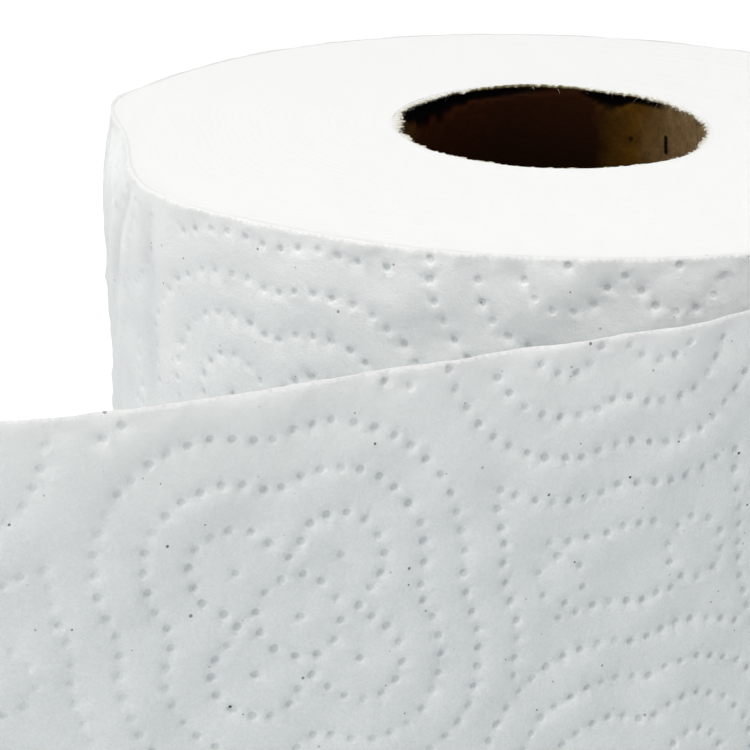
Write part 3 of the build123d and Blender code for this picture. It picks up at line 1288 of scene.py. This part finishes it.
def tissue_material(name, pale, thin, end_colour, rim_shade, speck_size, grain_depth):
    """A pale paper with a cloudy tone, specks, a fibre grain, and painted light and shade."""
    paper, tree, surface = new_material(name, TISSUE_SURFACE)
    crease = point_value(tree, "crease")
    marks = [use_group(tree, specks, Scale=cell, Size=speck_size * share) for cell, share in SPECKS]
    layers = [
        (use_group(tree, clouds, Scale=1.0), pale),
        # painted light near both ends
        (use_group(tree, near_end, Reach=END_LIGHT_REACH), end_colour),
        # painted shade in the pit floors
        (math_node(tree, "MULTIPLY", point_value(tree, "pressed"), PAINTED_SHADE_SHARE), PAINTED_SHADE_COLOUR),
        # painted shade in crease valleys, then a painted highlight on crease ridges
        (math_node(tree, "MULTIPLY", crease, -PAINTED_SHADE_SHARE), PAINTED_SHADE_COLOUR),
        (math_node(tree, "MULTIPLY", crease, RIDGE_HIGHLIGHT_SHARE), WALL_PAINTED_LIGHT),
        (math_node(tree, "MULTIPLY", math_node(tree, "MAXIMUM", *marks), SPECK_SHARE), SPECK_COLOUR),
    ]
    # painted shade along the rounded rim
    if rim_shade:
        layers.insert(2, (use_group(tree, near_end, Reach=RIM_SHADE_REACH), rim_shade))
    paint(tree, surface, lay_colours(tree, thin, layers), 1.0, 0.55, grain_depth)
    return paper


tissue = tissue_material("tissue", WALL_PALE, WALL_THIN, WALL_PAINTED_LIGHT, WALL_RIM_SHADE, 0.115, 0.16 * MM)
cut_tissue = tissue_material("cut_tissue", FACE_PALE, FACE_THIN, FACE_PALE, None, 0.02, 0.04 * MM)
for sheet in (free_sheet, second_sheet, third_sheet, fourth_sheet, fifth_sheet):
    sheet.data.materials.append(tissue)
wound_turns.data.materials.append(cut_tissue)
print("tissue painted")

# %% [markdown]
# The board is recycled, a dark red-brown with a mottled tone. Across the inside of the tube
# it is painted darker in the middle and further down, as painted shade, a lighter brown at
# the far left, and olive-grey to the right, as painted light where the lamps at the left
# reach the inner wall.
# Its cut edge is a pale felt of torn fibres, which a mask by height brings out at both
# ends. Along the mask's border a noise breaks the line up. A few dark marks stay where
# glue or dirt has stained the inside.
# The dark gap under the loose lip at the back is painted black, as painted shade.

# %% Board
BOARD_SURFACE = {"Roughness": 0.95, "Specular IOR Level": 0.05}
RED_BROWN = (0.060, 0.014, 0.003, 1)
# Painted shade: the middle of the inside, and its lower part.
MIDDLE_SHADE_BROWN = (0.026, 0.007, 0.002, 1)
DEPTH_SHADE_BROWN = (0.010, 0.004, 0.001, 1)
TIP_BROWN = (0.110, 0.052, 0.012, 1)
# Painted light on the right of the inside, where the lamps at the left reach it.
LIT_OLIVE_BROWN = (0.118, 0.052, 0.005, 1)
LIT_GREY_BROWN = (0.400, 0.255, 0.120, 1)
SHADE_BROWN = (0.012, 0.005, 0.002, 1)
STAIN_BLACK = (0.004, 0.002, 0.001, 1)
# Painted shade in the gap under the loose lip.
GAP_SHADE_BLACK = (0.002, 0.001, 0.001, 1)
CUT_OLIVE = (0.36, 0.33, 0.19, 1)
FELT_BROWN = (0.30, 0.24, 0.16, 1)
FELT_PALE = (0.86, 0.82, 0.74, 1)
FELT_PAPER = (0.92, 0.90, 0.88, 1)
FIBRE_BROWN = (0.56, 0.48, 0.37, 1)
FIBRE_PALE = (0.92, 0.89, 0.83, 1)
STAIN_REACH = (0.60 * MM, 0.25 * MM)
STAINS = (
    (11.21 * MM, 18.00 * MM, 93.7 * MM),
    (15.95 * MM, 13.96 * MM, 95.0 * MM),
    (16.00 * MM, 13.90 * MM, 94.4 * MM),
    (16.05 * MM, 13.85 * MM, 93.8 * MM),
    (16.10 * MM, 13.80 * MM, 93.2 * MM),
)

board, tree, surface = new_material("board", BOARD_SURFACE)
where = object_place(tree)
apart = node(tree, "ShaderNodeSeparateXYZ", {0: where}).outputs
wander = math_node(tree, "MULTIPLY_ADD", noise(tree, where, 120, 4, 0.6), 8 * MM, -4 * MM)
across = math_node(tree, "ADD", apart["X"], wander)
# Painted shade further down the tube and in the middle of the hole, painted light on its right.
deep = map_share(tree, apart["Z"], 97 * MM, 88 * MM)
mottle = math_node(tree, "MULTIPLY_ADD", noise(tree, where, 700, 3, 0.7), 2.2, -0.75)
layers = [
    (map_share(tree, apart["X"], -19 * MM, -6 * MM), MIDDLE_SHADE_BROWN),
    (math_node(tree, "MULTIPLY", deep, 0.8), DEPTH_SHADE_BROWN),
    (map_share(tree, across, -17 * MM, -20 * MM), TIP_BROWN),
    (map_share(tree, across, 5.6 * MM, 12 * MM), LIT_OLIVE_BROWN),
    (map_share(tree, across, 12 * MM, 19.5 * MM), LIT_GREY_BROWN),
    (math_node(tree, "MULTIPLY", mottle, 0.6), SHADE_BROWN),
]
for stain in STAINS:
    away = node(tree, "ShaderNodeVectorMath", {0: where, 1: stain}, operation="DISTANCE").outputs["Value"]
    layers.append((map_share(tree, away, *STAIN_REACH), STAIN_BLACK))
torn = math_node(tree, "MULTIPLY_ADD", noise(tree, where, 1600, 3, 0.7), 1.1, -0.55)
edge = map_share(tree, math_node(tree, "ADD", point_value(tree, "felt"), torn), 0.35, 0.65)
tuft = math_node(tree, "MULTIPLY_ADD", noise(tree, where, 1500, 3, 0.7), 3.0, -1.0)
felt_layers = [(tuft, FELT_PALE), (point_value(tree, "paper_side"), FELT_PAPER)]
layers += [
    # painted shade: the gap under the loose lip
    (point_value(tree, "gap"), GAP_SHADE_BLACK),
    (point_value(tree, "cut"), CUT_OLIVE),
    (edge, lay_colours(tree, FELT_BROWN, felt_layers)),
]
paint(tree, surface, lay_colours(tree, RED_BROWN, layers), 0.6, 0.7, 0.12 * MM)
board_tube.data.materials.append(board)

fibre_felt, tree, surface = new_material("board_fibre", {"Roughness": 0.95})
loose = noise(tree, object_place(tree), 800, 2)
tree.links.new(lay_colours(tree, FIBRE_BROWN, [(loose, FIBRE_PALE)]), surface["Base Color"])
torn_fibres.data.materials.append(fibre_felt)
print("board painted")
